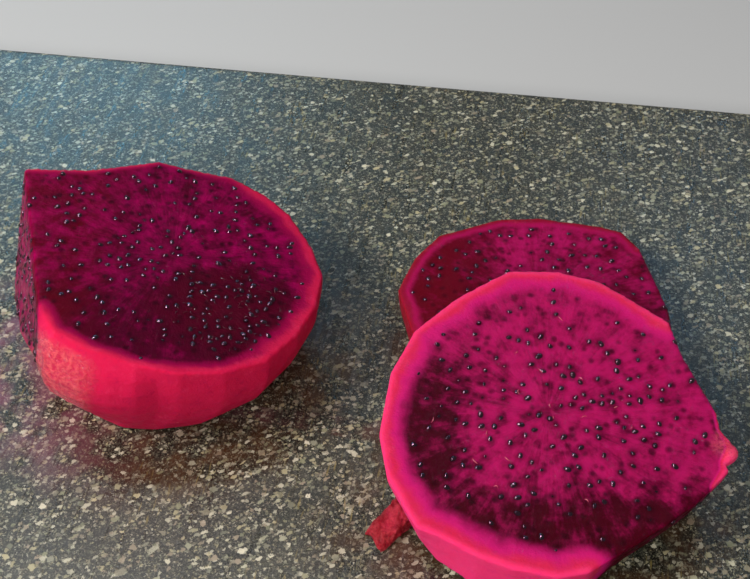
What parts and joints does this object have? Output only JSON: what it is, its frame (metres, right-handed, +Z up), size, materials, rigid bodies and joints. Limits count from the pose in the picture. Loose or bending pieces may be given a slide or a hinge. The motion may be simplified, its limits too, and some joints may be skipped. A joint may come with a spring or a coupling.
{
  "type": "dragon fruit slices on a board",
  "caption": "Peeled red dragon fruit, a thick cut end piece with round slices and a flesh scrap, resting on a speckled stone cutting board.",
  "frame": {"origin": "middle of the board's underside, which rests on the table", "axes": "+X along the board's long side, +Y away from the front slice towards the far edge, +Z up"},
  "size_m": [0.4, 0.3, 0.0517],
  "materials": {
    "board_stone": "satin",
    "fruit_flesh": "gloss"
  },
  "bodies": {
    "root": {"board": "board_stone", "end_piece": "fruit_flesh", "front_slice": "fruit_flesh", "rear_slice": "fruit_flesh", "flesh_scrap": "fruit_flesh"}
  },
  "joints": []
}
